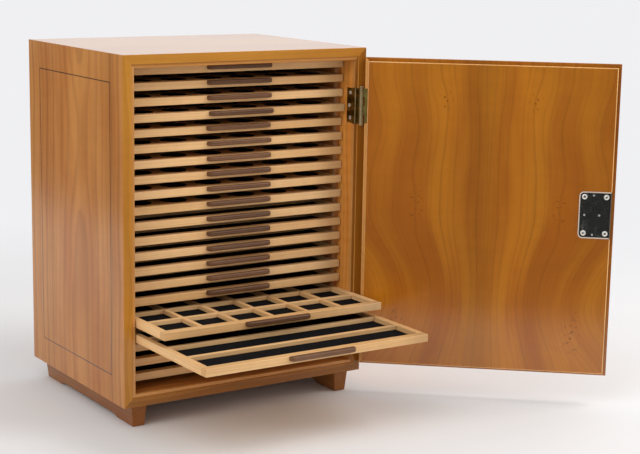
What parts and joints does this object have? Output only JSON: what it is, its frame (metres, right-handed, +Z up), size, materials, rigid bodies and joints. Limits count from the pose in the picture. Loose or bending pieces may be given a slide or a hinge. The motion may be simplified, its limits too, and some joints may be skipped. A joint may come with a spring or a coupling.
{
  "type": "display cabinet",
  "caption": "Table-top collector's cabinet: a wooden case on two skids with a lipped lockable door and a stack of shallow sliding trays lined with dark felt.",
  "frame": {"origin": "middle of the whole object's footprint at rest, door open and two trays out, on the surface that it stands on", "axes": "+Z up, +X to the right of the cabinet's front, +Y from the front to the back"},
  "size_m": [0.6058, 0.512, 0.4688],
  "materials": {
    "cherry": "oiled cherry, satin",
    "door_cherry": "oiled cherry, satin",
    "bead_wood": "pale cherry, satin",
    "dark_inlay": "dark stringing, satin",
    "guide_wood": "plain hardwood",
    "tray_wood": "pale hardwood, satin",
    "pull_walnut": "oiled walnut",
    "hinge_brass": "aged brass",
    "screw_steel": "bright nickel",
    "lock_nickel": "nickel, satin",
    "lock_dark_steel": "dark polished",
    "bolt_steel": "brushed"
  },
  "bodies": {
    "carcass": {"side_left": "cherry", "side_right": "cherry", "bottom_panel": "cherry", "top_panel": "cherry", "back_panel": "cherry", "seat_bead": "bead_wood", "side_stringing": "dark_inlay", "base_skids": "cherry", "tray_guides": "guide_wood", "hinge_cabinet_leaves": "hinge_brass", "hinge_pins": "hinge_brass", "hinge_cabinet_screws": "screw_steel"},
    "door": {"door_panel": "door_cherry", "hinge_door_leaves": "hinge_brass", "door_screws": "screw_steel", "lock_case": "lock_nickel", "lock_cover": "lock_dark_steel"},
    "lock_bolt": {"lock_bolt": "bolt_steel"},
    "tray_01": {"tray_01": "tray_wood", "pull_01": "pull_walnut"},
    "tray_02": {"tray_02": "tray_wood", "pull_02": "pull_walnut"},
    "tray_03": {"tray_03": "tray_wood", "pull_03": "pull_walnut"},
    "tray_04": {"tray_04": "tray_wood", "pull_04": "pull_walnut"},
    "tray_05": {"tray_05": "tray_wood", "pull_05": "pull_walnut"},
    "tray_06": {"tray_06": "tray_wood", "pull_06": "pull_walnut"},
    "tray_07": {"tray_07": "tray_wood", "pull_07": "pull_walnut"},
    "tray_08": {"tray_08": "tray_wood", "pull_08": "pull_walnut"},
    "tray_09": {"tray_09": "tray_wood", "pull_09": "pull_walnut"},
    "tray_10": {"tray_10": "tray_wood", "pull_10": "pull_walnut"},
    "tray_11": {"tray_11": "tray_wood", "pull_11": "pull_walnut"},
    "tray_12": {"tray_12": "tray_wood", "pull_12": "pull_walnut"},
    "tray_13": {"tray_13": "tray_wood", "pull_13": "pull_walnut"},
    "tray_14": {"tray_14": "tray_wood", "pull_14": "pull_walnut"},
    "tray_15": {"tray_15": "tray_wood", "pull_15": "pull_walnut"},
    "tray_16": {"tray_16": "tray_wood", "pull_16": "pull_walnut"},
    "tray_17": {"tray_17": "tray_wood", "pull_17": "pull_walnut"},
    "tray_18": {"tray_18": "tray_wood", "pull_18": "pull_walnut"},
    "tray_19": {"tray_19": "tray_wood", "pull_19": "pull_walnut"},
    "tray_20": {"tray_20": "tray_wood", "pull_20": "pull_walnut"},
    "tray_21": {"tray_21": "tray_wood", "pull_21": "pull_walnut"}
  },
  "joints": [
    {"name": "door_swing", "type": "hinge", "parent": "carcass", "child": "door", "pos_m": [0.04593, -0.02721, 0.10565], "axis": [0, 0, 1], "range_deg": [-28, 0]},
    {"name": "bolt_slide", "type": "slide", "parent": "door", "child": "lock_bolt", "axis": [0.7533, -0.6576, 0], "range_m": [0, 0.006]},
    {"name": "tray_01_slide", "type": "slide", "parent": "carcass", "child": "tray_01", "axis": [0, -1, 0], "range_m": [0, 0.2016]},
    {"name": "tray_02_slide", "type": "slide", "parent": "carcass", "child": "tray_02", "axis": [0, -1, 0], "range_m": [0, 0.2016]},
    {"name": "tray_03_slide", "type": "slide", "parent": "carcass", "child": "tray_03", "axis": [0, -1, 0], "range_m": [0, 0.2016]},
    {"name": "tray_04_slide", "type": "slide", "parent": "carcass", "child": "tray_04", "axis": [0, -1, 0], "range_m": [-0.0052, 0.1964]},
    {"name": "tray_05_slide", "type": "slide", "parent": "carcass", "child": "tray_05", "axis": [0, -1, 0], "range_m": [0, 0.2032]},
    {"name": "tray_06_slide", "type": "slide", "parent": "carcass", "child": "tray_06", "axis": [0, -1, 0], "range_m": [0, 0.2016]},
    {"name": "tray_07_slide", "type": "slide", "parent": "carcass", "child": "tray_07", "axis": [0, -1, 0], "range_m": [0, 0.2016]},
    {"name": "tray_08_slide", "type": "slide", "parent": "carcass", "child": "tray_08", "axis": [0, -1, 0], "range_m": [0, 0.2016]},
    {"name": "tray_09_slide", "type": "slide", "parent": "carcass", "child": "tray_09", "axis": [0, -1, 0], "range_m": [0, 0.2016]},
    {"name": "tray_10_slide", "type": "slide", "parent": "carcass", "child": "tray_10", "axis": [0, -1, 0], "range_m": [0, 0.2016]},
    {"name": "tray_11_slide", "type": "slide", "parent": "carcass", "child": "tray_11", "axis": [0, -1, 0], "range_m": [0, 0.2016]},
    {"name": "tray_12_slide", "type": "slide", "parent": "carcass", "child": "tray_12", "axis": [0, -1, 0], "range_m": [0, 0.2016]},
    {"name": "tray_13_slide", "type": "slide", "parent": "carcass", "child": "tray_13", "axis": [0, -1, 0], "range_m": [0, 0.2016]},
    {"name": "tray_14_slide", "type": "slide", "parent": "carcass", "child": "tray_14", "axis": [0, -1, 0], "range_m": [0, 0.2016]},
    {"name": "tray_15_slide", "type": "slide", "parent": "carcass", "child": "tray_15", "axis": [0, -1, 0], "range_m": [0, 0.2016]},
    {"name": "tray_16_slide", "type": "slide", "parent": "carcass", "child": "tray_16", "axis": [0, -1, 0], "range_m": [0, 0.2016]},
    {"name": "tray_17_slide", "type": "slide", "parent": "carcass", "child": "tray_17", "axis": [0, -1, 0], "range_m": [-0.0995, 0.1021]},
    {"name": "tray_18_slide", "type": "slide", "parent": "carcass", "child": "tray_18", "axis": [0, -1, 0], "range_m": [-0.2016, 0]},
    {"name": "tray_19_slide", "type": "slide", "parent": "carcass", "child": "tray_19", "axis": [0, -1, 0], "range_m": [0, 0.2016]},
    {"name": "tray_20_slide", "type": "slide", "parent": "carcass", "child": "tray_20", "axis": [0, -1, 0], "range_m": [0, 0.2016]},
    {"name": "tray_21_slide", "type": "slide", "parent": "carcass", "child": "tray_21", "axis": [0, -1, 0], "range_m": [0, 0.2016]}
  ]
}
